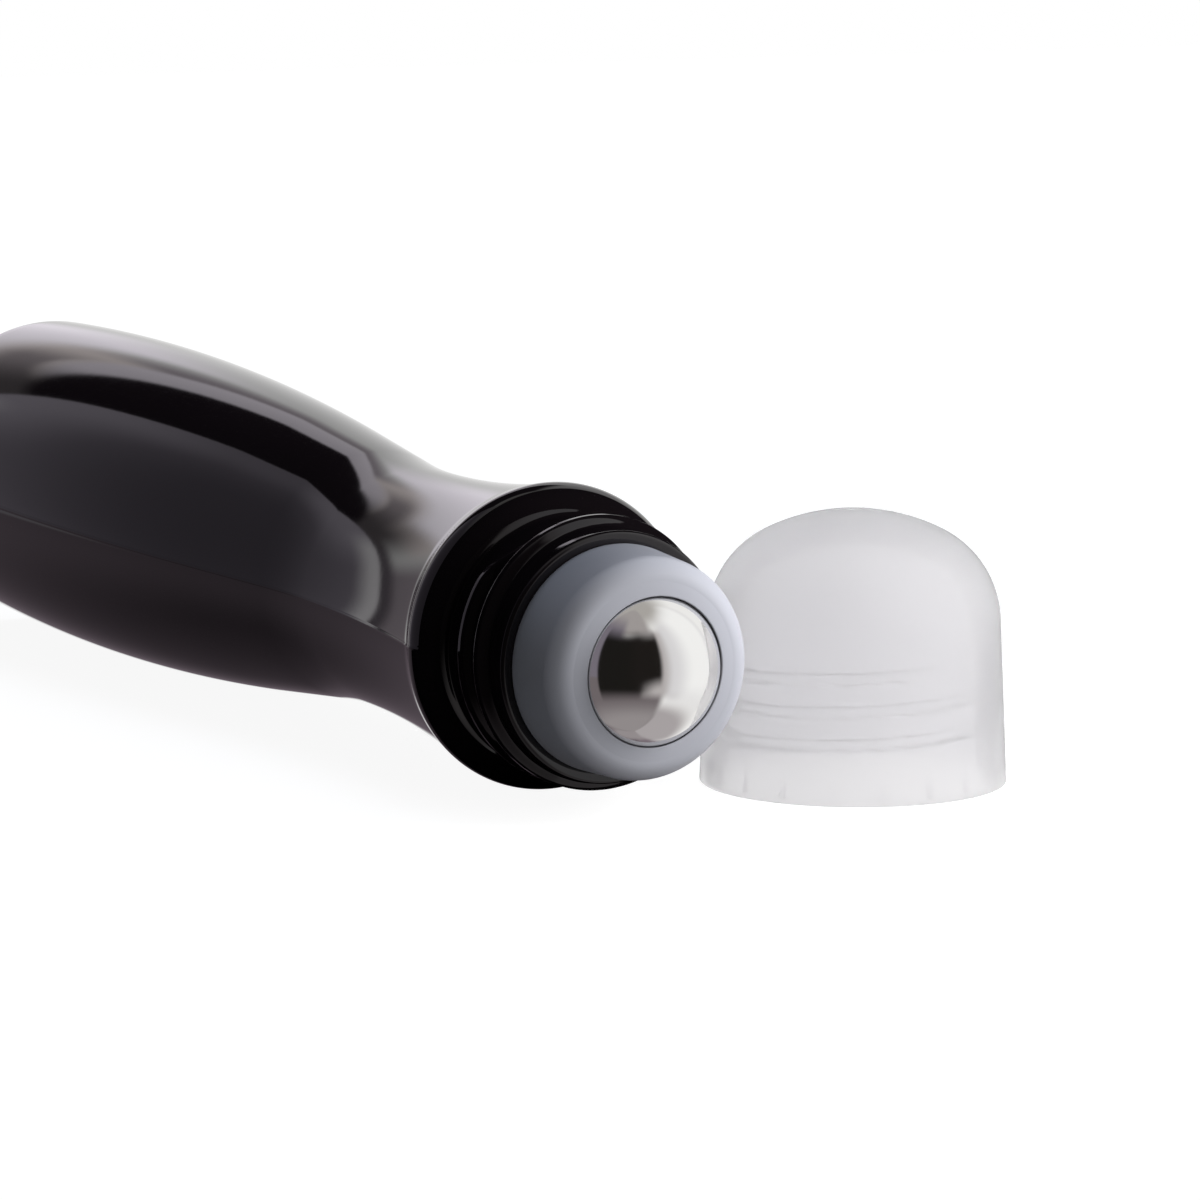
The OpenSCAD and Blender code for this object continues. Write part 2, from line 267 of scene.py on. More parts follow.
@dataclass
class Graph:
    """Adds nodes to a tree and links them."""

    tree: NodeTree

    def put(self, socket: NodeSocket, value: Any) -> None:
        """Sets an input socket, or links it where the value is another node's output.

        Args:
            socket: Input socket.
            value: Value or output socket.
        """
        if isinstance(value, NodeSocket):
            self.tree.links.new(value, socket)
        else:
            socket.default_value = value

    def add(self, kind: str, inputs: dict[Any, Any] | None = None, **settings: Any) -> Node:
        """Adds a node.

        Args:
            kind: The node's type.
            inputs: Values or output sockets for its inputs, by name or by index.
            settings: Properties of the node, set before its inputs.

        Returns:
            The node.
        """
        node = self.tree.nodes.new(kind)
        for key, value in settings.items():
            setattr(node, key, value)
        for key, value in (inputs or {}).items():
            self.put(node.inputs[key], value)
        return node

    def maths(self, operation: str, *values: Any) -> NodeSocket:
        """Adds a math node for numbers or sockets and returns its output."""
        return self.add("ShaderNodeMath", dict(enumerate(values)), operation=operation).outputs[0]

    def minus(self, value: Any, other: Any) -> NodeSocket:
        """Adds a node that takes one value from another and returns its output."""
        return self.maths("SUBTRACT", value, other)

    def times(self, value: Any, *others: Any) -> NodeSocket:
        """Adds nodes that multiply values.

        Args:
            value: First number or socket.
            others: Numbers or sockets to multiply it by, in order.

        Returns:
            The socket that holds the product.
        """
        for other in others:
            value = self.maths("MULTIPLY", value, other)
        return value

    def combine(self, *parts: Any) -> NodeSocket:
        """Adds a node that makes a vector of three numbers or sockets and returns its output."""
        return self.add("ShaderNodeCombineXYZ", dict(enumerate(parts))).outputs[0]

    def ramp(self, value: Any, ends: Sequence[Any], result: Sequence[Any] = (0.0, 1.0)) -> NodeSocket:
        """Maps one range onto another with smooth ends.

        Args:
            value: Number or socket to map.
            ends: Low and high end of the range that the value comes from.
            result: Values at those ends.

        Returns:
            The socket that holds the mapped value.
        """
        names = ("Value", "From Min", "From Max", "To Min", "To Max")
        inputs = dict(zip(names, (value, *ends, *result)))
        return self.add("ShaderNodeMapRange", inputs, interpolation_type="SMOOTHSTEP").outputs["Result"]

    def within(self, value: Any, span: Span, shift: Any = 0.0) -> NodeSocket:
        """Adds nodes that fade in and out along a span.

        Args:
            value: Socket with the angle.
            span: Outer and inner start, inner and outer end.
            shift: Number or socket by which the start moves.

        Returns:
            The socket with a factor from 0 to 1.
        """
        begin = self.ramp(self.minus(value, shift), span[:2])
        return self.times(begin, self.ramp(value, span[2:], (1.0, 0.0)))

    def beside(self, turn: Any, middle: Any) -> NodeSocket:
        """Adds nodes that measure one azimuth from another, from -180 to 180 degrees.

        Args:
            turn: Socket with the azimuth.
            middle: Number or socket with the azimuth to measure from.

        Returns:
            The socket with the angle between them.
        """
        away = self.maths("ADD", self.minus(turn, middle), 180.0)
        return self.minus(self.maths("FLOORED_MODULO", away, 360.0), 180.0)


class MeshGraph(Graph):
    """Geometry tree that changes a mesh on the Z axis by named sizes.

    Attributes:
        size: Sockets of the mesh, as Geometry, the material and the sizes, by name.
    """

    def __init__(self, name: str, sizes: Sequence[str]) -> None:
        """Starts the tree.

        Args:
            name: Name of the tree.
            sizes: Names of its number inputs, which follow the geometry and the material.
        """
        inputs = {"Geometry": "Geometry", "Material": "Material", **dict.fromkeys(sizes, "Float")}
        super().__init__(new_tree(name, "GeometryNodeTree", inputs, {"Geometry": "Geometry"}))
        self.size = self.add("NodeGroupInput").outputs

    def finish(self, result: NodeSocket) -> NodeTree:
        """Ends the tree with real instances and one material.

        Args:
            result: Socket with the geometry.

        Returns:
            The tree.
        """
        real = self.add("GeometryNodeRealizeInstances", {"Geometry": result}).outputs[0]
        inputs = {"Geometry": real, "Material": self.size["Material"]}
        dressed = self.add("GeometryNodeSetMaterial", inputs).outputs[0]
        self.add("NodeGroupOutput", {"Geometry": dressed})
        return self.tree

    def polar(self) -> tuple[NodeSocket, NodeSocket, NodeSocket, NodeSocket]:
        """Adds nodes that give each point's place round the Z axis.

        Returns:
            Sockets with the outward direction, the radius, the angle in radians and the height.
        """
        place = self.add("GeometryNodeInputPosition").outputs[0]
        parts = self.add("ShaderNodeSeparateXYZ", {0: place}).outputs
        flat = self.combine(parts[0], parts[1], 0.0)
        outward = self.add("ShaderNodeVectorMath", {0: flat}, operation="NORMALIZE").outputs["Vector"]
        radius = self.add("ShaderNodeVectorMath", {0: flat}, operation="LENGTH").outputs["Value"]
        return outward, radius, self.maths("ARCTAN2", parts[1], parts[0]), parts[2]

    def pushed(self, chosen: NodeSocket, outward: NodeSocket, amount: NodeSocket) -> NodeTree:
        """Ends the tree with nodes that move the chosen points away from the Z axis.

        Args:
            chosen: Socket that is true where a point moves.
            outward: Socket with the outward direction.
            amount: Socket with the distance.

        Returns:
            The tree.
        """
        shift = self.add("ShaderNodeVectorMath", {0: outward, "Scale": amount}, operation="SCALE")
        inputs = {"Geometry": self.size["Geometry"], "Selection": chosen, "Offset": shift.outputs["Vector"]}
        return self.finish(self.add("GeometryNodeSetPosition", inputs).outputs[0])

    def ringed(self, shape: NodeSocket, how: Shape) -> NodeTree:
        """Ends the tree with nodes that join copies of a shape, set in a ring, to the mesh.

        Args:
            shape: Socket with one shape at the origin.
            how: Whether the copies are added or cut away.

        Returns:
            The tree, whose sizes Count, Radius and Middle give the copies' number and places.
        """
        size = self.size
        index = self.add("GeometryNodeInputIndex").outputs[0]
        turn = self.times(self.maths("DIVIDE", index, size["Count"]), math.tau)
        across = (self.times(self.maths(way, turn), size["Radius"]) for way in ("COSINE", "SINE"))
        place = self.combine(*across, size["Middle"])
        points = self.add("GeometryNodePoints", {"Count": size["Count"], "Position": place}).outputs[0]
        inputs = {"Points": points, "Instance": shape, "Rotation": self.combine(0.0, 0.0, turn)}
        copies = self.add("GeometryNodeInstanceOnPoints", inputs).outputs[0]
        tools = self.add("GeometryNodeRealizeInstances", {"Geometry": copies}).outputs[0]
        node = self.add("GeometryNodeMeshBoolean", operation=how.value, solver="EXACT")
        self.put(node.inputs["Mesh 1" if how is Shape.DIFFERENCE else "Mesh 2"], size["Geometry"])
        self.put(node.inputs["Mesh 2"], tools)
        return self.finish(node.outputs["Mesh"])


THREAD_SIZES = (
    "Wall Radius",
    "Height",
    "Pitch",
    "Foot Width",
    "Crest Width",
    "Turns",
    "Start Angle",
    "First Point",
    "Run In",
)


def thread_tree() -> NodeTree:
    """Makes the tree that raises a right-handed thread out of a straight round wall.

    Returns:
        The tree.
    """
    wall_reach = 0.05
    graph = MeshGraph("raised_thread", THREAD_SIZES)
    size = graph.size
    outward, radius, angle, height = graph.polar()
    begin = graph.maths("RADIANS", size["Start Angle"])
    turned = graph.maths("FLOORED_MODULO", graph.minus(angle, begin), math.tau)
    share = graph.maths("DIVIDE", turned, math.tau)
    climbed = graph.maths("DIVIDE", graph.minus(height, size["First Point"]), size["Pitch"])
    along = graph.maths("ADD", share, graph.maths("ROUND", graph.minus(climbed, share)))
    off_line = graph.maths("ABSOLUTE", graph.times(graph.minus(climbed, along), size["Pitch"]))
    reaches = [graph.times(size[width], 0.5) for width in ("Foot Width", "Crest Width")]
    profile = graph.ramp(off_line, reaches)
    left = graph.maths("MINIMUM", along, graph.minus(size["Turns"], along))
    rise = graph.ramp(left, (0.0, graph.maths("DIVIDE", size["Run In"], 360.0)))
    off_wall = graph.maths("ABSOLUTE", graph.minus(radius, size["Wall Radius"]))
    chosen = graph.maths("LESS_THAN", off_wall, wall_reach)
    return graph.pushed(chosen, outward, graph.times(profile, rise, size["Height"]))


def parting_line_tree() -> NodeTree:
    """Makes the tree that raises the fine line that the two halves of a mould leave on both sides.

    Returns:
        The tree.
    """
    fade_width = 0.4
    facing_out = 0.1
    graph = MeshGraph("parting_line", ("Height", "Width", "Smallest Radius", "Highest Point"))
    size = graph.size
    outward, radius, angle, height = graph.polar()
    from_plane = graph.times(graph.maths("ABSOLUTE", graph.maths("COSINE", angle)), radius)
    profile = graph.ramp(from_plane, (graph.times(size["Width"], 0.5), 0.0))
    least = size["Smallest Radius"]
    fade = graph.ramp(radius, (least, graph.maths("ADD", least, fade_width)))
    below = graph.maths("LESS_THAN", height, size["Highest Point"])
    skin = graph.add("GeometryNodeInputNormal").outputs[0]
    faces_out = graph.add("ShaderNodeVectorMath", {0: skin, 1: outward}, operation="DOT_PRODUCT")
    outside = graph.maths("GREATER_THAN", faces_out.outputs["Value"], facing_out)
    return graph.pushed(graph.times(below, outside), outward, graph.times(profile, fade, size["Height"]))


def ribs_tree() -> NodeTree:
    """Makes the tree that adds short upright ribs round the inside of a mouth.

    Returns:
        The tree.
    """
    graph = MeshGraph("mouth_ribs", ("Count", "Radius", "Width", "Rib Height", "Depth", "Middle"))
    extent = graph.combine(graph.size["Depth"], graph.size["Width"], graph.size["Rib Height"])
    rib = graph.add("GeometryNodeMeshCube", {"Size": extent})
    return graph.ringed(rib.outputs["Mesh"], Shape.UNION)


def feed_slots_tree() -> NodeTree:
    """Makes the tree that cuts round feed slots through a cup, in a ring.

    Returns:
        The tree.
    """
    graph = MeshGraph("feed_slots", ("Count", "Radius", "Slot Radius", "Depth", "Middle"))
    inputs = {"Vertices": 32, "Radius": graph.size["Slot Radius"], "Depth": graph.size["Depth"]}
    cutter = graph.add("GeometryNodeMeshCylinder", inputs)
    return graph.ringed(cutter.outputs["Mesh"], Shape.DIFFERENCE)


def apply_tree(piece: Object, tree: NodeTree, material: Material, sizes: dict[str, float]) -> None:
    """Runs a geometry tree on a piece, keeps the result as its plain mesh and removes the modifier.

    Args:
        piece: Object whose mesh still lies on the Z axis.
        tree: Tree made by one of the functions above.
        material: Material that the tree sets.
        sizes: Values of the tree's number inputs, by name.
    """
    modifier = piece.modifiers.new(tree.name, "NODES")
    modifier.node_group = tree
    for item in tree.interface.items_tree:
        if item.in_out == "INPUT" and item.name in sizes:
            modifier[item.identifier] = float(sizes[item.name])
        elif item.in_out == "INPUT" and item.name == "Material":
            modifier[item.identifier] = material
    depsgraph = bpy.context.evaluated_depsgraph_get()
    mesh = bpy.data.meshes.new_from_object(piece.evaluated_get(depsgraph), depsgraph=depsgraph)
    piece.modifiers.clear()
    piece.data = mesh


# Places


@dataclass(frozen=True)
class Places:
    """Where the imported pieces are, read from the frame.

    Attributes:
        rim: Middle of the neck's rim, in metres.
        axis: Direction of the bottle's axis, from its base to its mouth.
        cap_middle: Middle of the cap's open end, in metres.
        cap_height: Height of the cap in millimetres.
    """

    rim: Vector
    axis: Vector
    cap_middle: Vector
    cap_height: float

    @classmethod
    def from_frame(cls, ball_up: float) -> "Places":
        """Reads the places.

        Args:
            ball_up: Height of the ball's middle over the rim, in millimetres.

        Returns:
            The places.
        """
        ball_low, ball_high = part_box("roller_ball")
        cap_low, cap_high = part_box("cap")
        base = next(m for m in frame["record"]["mounts"] if m["name"] == "base_rest")
        axis = -Vector(base["axis"]).normalized()
        middle = (cap_low + cap_high) / 2
        return cls(
            rim=(ball_low + ball_high) / 2 - axis * ball_up * MM,
            axis=axis,
            cap_middle=Vector((middle.x, middle.y, cap_low.z)),
            cap_height=(cap_high.z - cap_low.z) / MM,
        )

    def on_bottle(self) -> Matrix:
        """Gives the matrix from millimetres on the bottle's axis, with the rim at zero, to the row frame.

        Returns:
            The matrix.
        """
        side = Vector((0.0, 1.0, 0.0))
        turn = Matrix((side.cross(self.axis), side, self.axis)).transposed().to_4x4()
        return Matrix.Translation(self.rim) @ turn @ Matrix.Scale(MM, 4)

    def on_cap(self) -> Matrix:
        """Matrix from millimetres on the cap's axis, with its open end at zero, to the row frame."""
        return Matrix.Translation(self.cap_middle) @ Matrix.Scale(MM, 4)


# Finishes

SKIN_INPUTS = ("Tone Scale", "Grain Scale", "Tone Amount", "Roughness", "Roughness Amount")
SKIN_OUTPUTS = ("Tone", "Roughness", "Height")


def moulded_skin_group() -> NodeTree:
    """Makes the shader group for the skin of a moulding.

    Returns:
        The group, which puts out slow changes of tone, fine grain and its height.
    """
    noise_middle = 0.5
    inputs, outputs = (dict.fromkeys(names, "Float") for names in (SKIN_INPUTS, SKIN_OUTPUTS))
    graph = Graph(new_tree("moulded_skin", "ShaderNodeTree", inputs, outputs))
    start = graph.add("NodeGroupInput").outputs
    place = graph.add("ShaderNodeTexCoord").outputs["Object"]
    slow = graph.add("ShaderNodeTexNoise", {"Vector": place, "Scale": start["Tone Scale"], "Detail": 3.0})
    fine = graph.add("ShaderNodeTexNoise", {"Vector": place, "Scale": start["Grain Scale"], "Detail": 4.0})
    drift, speck = (graph.minus(noise.outputs[0], noise_middle) for noise in (slow, fine))
    tone = graph.maths("MULTIPLY_ADD", drift, start["Tone Amount"], 1.0)
    rough = graph.maths("MULTIPLY_ADD", speck, start["Roughness Amount"], start["Roughness"])
    graph.add("NodeGroupOutput", dict(zip(SKIN_OUTPUTS, (tone, rough, fine.outputs[0]))))
    return graph.tree


@dataclass(frozen=True)
class Skin:
    """Values of the moulded skin on one piece, the shader group's own first and in its order.

    Attributes:
        tone_scale: Scale of the slow changes of tone.
        grain_scale: Scale of the fine grain.
        tone_amount: How far the tone leaves its middle.
        roughness: Roughness in the middle.
        roughness_amount: How far the roughness leaves its middle.
        bump: Strength of the grain's relief.
        bump_depth: Depth of the grain's relief, in metres.
    """

    tone_scale: float
    grain_scale: float
    tone_amount: float
    roughness: float
    roughness_amount: float
    bump: float
    bump_depth: float = 0.00002


@dataclass(frozen=True)
class Finish:
    """One finish of the bottle.

    Attributes:
        slot: The record's slot that the finish belongs to.
        colour: Colour in the middle of the tone.
        skin: Skin of the moulding.
        fixed: Values that are the same all over, by the shader's socket.
        veil: How much a see-through wall covers where it faces the eye and at its edges.
    """

    slot: Slot
    colour: Colour
    skin: Skin
    fixed: dict[str, Any] = field(default_factory=dict)
    veil: tuple[float, float] | None = None

    def material(self, group: NodeTree) -> Material:
        """Makes the material.

        Args:
            group: The moulded skin's shader group.

        Returns:
            The material.
        """
        made = bpy.data.materials.new(self.slot.value)
        made.use_nodes = True
        graph = Graph(made.node_tree)
        shader = made.node_tree.nodes["Principled BSDF"].inputs
        inputs = dict(zip(SKIN_INPUTS, astuple(self.skin)))
        skin = graph.add("ShaderNodeGroup", inputs, node_tree=group).outputs
        tint = graph.add("ShaderNodeVectorMath", {0: self.colour, "Scale": skin["Tone"]}, operation="SCALE")
        inputs = {"Strength": self.skin.bump, "Distance": self.skin.bump_depth, "Height": skin["Height"]}
        graph.put(shader["Base Color"], tint.outputs["Vector"])
        graph.put(shader["Roughness"], skin["Roughness"])
        graph.put(shader["Normal"], graph.add("ShaderNodeBump", inputs).outputs["Normal"])
        if self.veil:
            edge = graph.add("ShaderNodeLayerWeight", {"Blend": 0.5}).outputs["Facing"]
            inputs = {"Value": edge, "To Min": self.veil[0], "To Max": self.veil[1]}
            graph.put(shader["Alpha"], graph.add("ShaderNodeMapRange", inputs).outputs["Result"])
        for name, value in self.fixed.items():
            shader[name].default_value = value
        return made


BOTTLE_GLOSS = Finish(
    Slot.BOTTLE,
    (0.006, 0.0045, 0.0055),
    Skin(60, 900, tone_amount=0.5, roughness=0.05, roughness_amount=0.03, bump=0.04),
    {"IOR": 1.5},
)
HOUSING_SATIN = Finish(
    Slot.HOUSING,
    (0.42, 0.43, 0.48),
    Skin(80, 2500, tone_amount=0.08, roughness=0.40, roughness_amount=0.08, bump=0.15),
    {"IOR": 1.46},
)
BALL_STEEL = Finish(
    Slot.BALL,
    (0.86, 0.855, 0.84),
    Skin(120, 3000, tone_amount=0.03, roughness=0.07, roughness_amount=0.04, bump=0.02),
    {"Metallic": 1.0},
)
CAP_FROSTED = Finish(
    Slot.CAP,
    (0.93, 0.92, 0.935),
    Skin(90, 1800, tone_amount=0.03, roughness=0.58, roughness_amount=0.06, bump=0.05),
    {"Transmission Weight": 0.92, "IOR": 1.12},
    veil=(0.86, 0.62),
)


# Sub-assemblies


@dataclass
class Thread:
    """Right-handed thread.

    Attributes:
        pitch: Advance in one turn.
        height: Height over its wall.
        foot_width: Width where it meets the wall.
        crest_width: Width along its crest.
        run_in: Angle in degrees over which it rises at each end.
    """

    pitch: float = 3.175
    height: float = 1.0
    foot_width: float = 2.1
    crest_width: float = 0.5
    run_in: float = 24.0

    def mark(self, wall: float, turns: float, start: float, first: float, inward: bool) -> Mark:
        """Gives the tree that raises the thread, with its sizes.

        Args:
            wall: Radius of the wall that carries it.
            turns: Number of turns.
            start: Angle in degrees at which it begins.
            first: Height of its first point.
            inward: True inside a cap and False on a neck.

        Returns:
            The tree and the values of its inputs, by name.
        """
        height = -self.height if inward else self.height
        section = (height, self.pitch, self.foot_width, self.crest_width)
        values = (wall, *section, turns, start, first, self.run_in)
        return thread_tree(), dict(zip(THREAD_SIZES, values))


@dataclass
class NeckFit:
    """Radii from the ball outwards, as the pieces fit into each other."""

    ball: float
    ball_gap: float = 0.08
    housing_wall: float = 2.87
    seat: float = 0.85
    neck_wall: float = 2.0
    thread_height: float = 1.0
    thread_gap: float = 0.3
    skirt_wall: float = 1.55

    @property
    def socket(self) -> float:
        """Radius of the ball's socket."""
        return self.ball + self.ball_gap

    @property
    def housing(self) -> float:
        """Radius of the housing on the rim."""
        return self.socket + self.housing_wall

    @property
    def bore(self) -> float:
        """Radius of the bore of the neck."""
        return self.housing - self.seat

    @property
    def neck(self) -> float:
        """Radius of the neck between the threads."""
        return self.bore + self.neck_wall

    @property
    def skirt_bore(self) -> float:
        """Radius of the cap's bore round the thread."""
        return self.neck + self.thread_height + self.thread_gap

    @property
    def collar(self) -> float:
        """Radius of the collar and of the cap's open end."""
        return self.skirt_bore + self.skirt_wall


class TurnedPiece:
    """Piece that is turned on its own axis, marked by geometry trees and put in its place.

    Attributes:
        name: Name of the piece.
        node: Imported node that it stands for.
        body: Body that it rides on.
        finish: Finish of its whole surface.
        sharp: Angle in degrees between two faces from which their edge stays sharp.
        sides: Number of corners in a turn.
        closed: True if its outline is a loop beside the axis, and False if both ends lie on the axis.
    """

    name: ClassVar[str]
    node: ClassVar[str]
    body: ClassVar[Body]
    finish: ClassVar[Finish]
    sharp: ClassVar[float] = 35
    sides: ClassVar[int] = 192
    closed: ClassVar[bool] = False

    def outline(self) -> list[Point]:
        """Outline, in the order that puts the solid on the left."""
        raise NotImplementedError

    def angles(self) -> list[float]:
        """Angles in degrees of the corners in a turn."""
        return even_angles(self.sides)

    def marks(self) -> list[Mark]:
        """Geometry trees that mark the piece, each with its sizes."""
        return []

    def place(self, places: Places) -> Matrix:
        """Matrix from millimetres on the piece's own axis to the row frame."""
        return places.on_bottle()

    def build(self, places: Places, skin: NodeTree) -> Object:
        """Builds and dresses the piece.

        Args:
            places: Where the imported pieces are.
            skin: The moulded skin's shader group.

        Returns:
            The object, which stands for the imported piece.
        """
        material = self.finish.material(skin)
        mesh = turned_mesh(self.name, self.outline(), self.angles(), self.closed)
        piece = new_object(self.name, mesh)
        for tree, sizes in self.marks():
            apply_tree(piece, tree, material, sizes)
        if not piece.data.materials:
            piece.data.materials.append(material)
        put_in_place(piece, self.place(places), self.sharp)
        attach(piece, self.body.value)
        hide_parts(self.node)
        return piece


@dataclass
class Bottle(TurnedPiece):
    """Blow-moulded body with its collar and threaded neck, measured back from the rim."""

    name = "bottle_moulding"
    node = "bottle"
    body = Body.BOTTLE
    finish = BOTTLE_GLOSS
    sharp = 66
    sides = 216

    fit: NeckFit
    thread: Thread
    belly_radius: float = 17.4
    belly_up: float = 24.0
    belly_back: float = 114.0
    waist_radius: float = 12.35
    waist_back: float = 41.5
    curve_share: float = 0.965
    belly_share: float = 0.84
    wall: float = 1.2
    base_corner: float = 3.5
    base_ring: float = 2.8
    base_hollow: float = 1.4
    base_wall: float = 1.6
    collar_back: float = 13.0
    collar_bead: float = 3.0
    collar_step: float = 0.3
    bead_cove: float = 0.5
    rim_edge: float = 0.5
    rim_bevel: float = 0.3
    neck_turns: float = 1.6
    thread_end_back: float = 2.0
    thread_start: float = 213.0
    thread_row: float = 0.09
    line_height: float = 0.09
    line_width: float = 0.34
    line_clear: float = 0.1

    def curves(self) -> tuple[float, float, float]:
        """Works out how the belly's curve and the waist's meet.

        Returns:
            Radii of the belly's and the waist's curves, and the slope where they meet, in degrees.
        """
        drop = self.belly_radius - self.waist_radius
        run = self.belly_back - self.waist_back
        total = self.curve_share * (run**2 + drop**2) / (2 * drop)
        slope = math.atan2(run, total - drop) - math.acos(total / math.hypot(total - drop, run))
        return total * self.belly_share, total * (1 - self.belly_share), math.degrees(slope)

    def bead_from(self) -> float:
        """Angle in degrees at which the collar's bead leaves the flare."""
        return -math.degrees(math.acos(1 - self.collar_step / self.collar_bead))

    def base_reach(self) -> Point:
        """Distance from the belly curve's centre to the base corner's, across and up."""
        up = self.belly_up - self.base_corner
        return math.sqrt((self.curves()[0] - self.base_corner) ** 2 - up**2), up

    def base_angle(self) -> float:
        """Angle in degrees of the belly's curve where the base's corner begins."""
        across, up = self.base_reach()
        return math.degrees(math.atan2(up, across))

    def base(self, lift: float, steps: int) -> tuple[Point, list[Point]]:
        """Outline of the hollow in the base, moved up by a distance.

        Args:
            lift: Distance from the outside.
            steps: Number of chords.

        Returns:
            The centre of the base's corner, and the points from the axis to the ring.
        """
        low = -self.belly_up - self.belly_back
        corner = self.belly_radius - self.curves()[0] + self.base_reach()[0]
        hollow = corner - self.base_ring
        sphere = (hollow**2 + self.base_hollow**2) / (2 * self.base_hollow)
        spread = math.degrees(math.asin(hollow / sphere))
        middle = (0, low + self.base_hollow + lift - sphere)
        return (corner, low + self.base_corner), arc(middle, sphere, 90, 90 - spread, steps)

    def walls(self, inset: float, fineness: int) -> list[Point]:
        """Outline of the body from its belly's lower end to the flare, moved in by a distance.

        Args:
            inset: Distance from the outside.
            fineness: Number of chords in the shorter curves.

        Returns:
            The points, from the base towards the collar.
        """
        belly, waist, slope = self.curves()
        bead_up = self.collar_bead * math.sin(math.radians(self.bead_from()))
        run = self.waist_back - self.collar_back + bead_up
        rise = self.fit.collar - self.collar_step - self.waist_radius
        flare = (run**2 + rise**2) / (2 * rise)
        end = math.degrees(math.asin((run - (self.collar_step if inset else 0)) / (flare + inset)))
        belly_middle = (self.belly_radius - belly, -self.belly_back)
        belly_arc = arc(belly_middle, belly - inset, -self.base_angle(), slope, 2 * fineness)
        waist_middle = (self.waist_radius + waist, -self.waist_back)
        waist_arc = arc(waist_middle, waist + inset, 180 + slope, 180, fineness)
        flare_middle = (self.waist_radius + flare, -self.waist_back)
        flare_arc = arc(flare_middle, flare + inset, 180, 180 - end, fineness)
        return belly_arc + straight(belly_arc[-1], waist_arc[0], step=1.5) + waist_arc + flare_arc

    def outside(self) -> list[Point]:
        """Outline of the outside.

        Returns:
            The points, from the middle of the base to the rim.
        """
        corner, hollow = self.base(0, steps=10)
        neck, bead = self.fit.neck, self.collar_bead
        bead_middle = (self.fit.collar - bead, -self.collar_back)
        reach = bead + self.bead_cove
        bead_to = math.degrees(math.acos((neck + self.bead_cove - bead_middle[0]) / reach))
        cove_up = -self.collar_back + reach * math.sin(math.radians(bead_to))
        cove = arc((neck + self.bead_cove, cove_up), self.bead_cove, 180 + bead_to, 180, steps=6)
        rim = arc((neck - self.rim_edge, -self.rim_edge), self.rim_edge, 0, 90, steps=8)
        return (
            hollow
            + straight(hollow[-1], (corner[0], corner[1] - self.base_corner), step=1.0)
            + arc(corner, self.base_corner, -90, -self.base_angle(), steps=14)
            + self.walls(0, fineness=24)
            + arc(bead_middle, bead, self.bead_from(), bead_to, steps=30)
            + cove
            + straight(cove[-1], rim[0], self.thread_row)
            + rim
        )

    def inside(self) -> list[Point]:
        """Outline of the inside.

        Returns:
            The points, from the rim back to the middle of the base.
        """
        corner, hollow = self.base(self.base_wall, steps=8)
        inner = self.base_corner - self.wall
        lean = math.degrees(math.asin((self.base_corner - self.base_wall) / inner))
        bore = self.fit.bore
        up = (
            hollow
            + arc(corner, inner, -lean, -self.base_angle(), steps=6)
            + self.walls(self.wall, fineness=8)
            + [(bore, -self.collar_back), (bore, -self.rim_bevel), (bore + self.rim_bevel, 0.0)]
        )
        return up[::-1]

    def outline(self) -> list[Point]:
        """Outline from the middle of the base, round the outside and back through the inside."""
        return without_doubles(self.outside() + self.inside())

    def angles(self) -> list[float]:
        """Gives the angles round the bottle, closer together beside the parting line.

        Returns:
            The angles in degrees.
        """
        lines = (90, 270)
        beside = [0.3, 0.55, 0.8, 1.1, 1.6, 2.4]
        cleared = 3
        fine = [-turn for turn in beside] + [0.0] + beside
        far = [turn for turn in even_angles(self.sides) if min(abs(turn - line) for line in lines) > cleared]
        return sorted(far + [line + turn for line in lines for turn in fine])

    def marks(self) -> list[Mark]:
        """Gives the thread and the parting line.

        Returns:
            Their trees, each with its sizes.
        """
        first = -self.thread_end_back - self.neck_turns * self.thread.pitch
        line = {
            "Height": self.line_height,
            "Width": self.line_width,
            "Smallest Radius": self.fit.neck + self.line_clear,
            "Highest Point": -self.collar_back + self.collar_bead / 2,
        }
        thread = self.thread.mark(self.fit.neck, self.neck_turns, self.thread_start, first, inward=False)
        return [thread, (parting_line_tree(), line)]


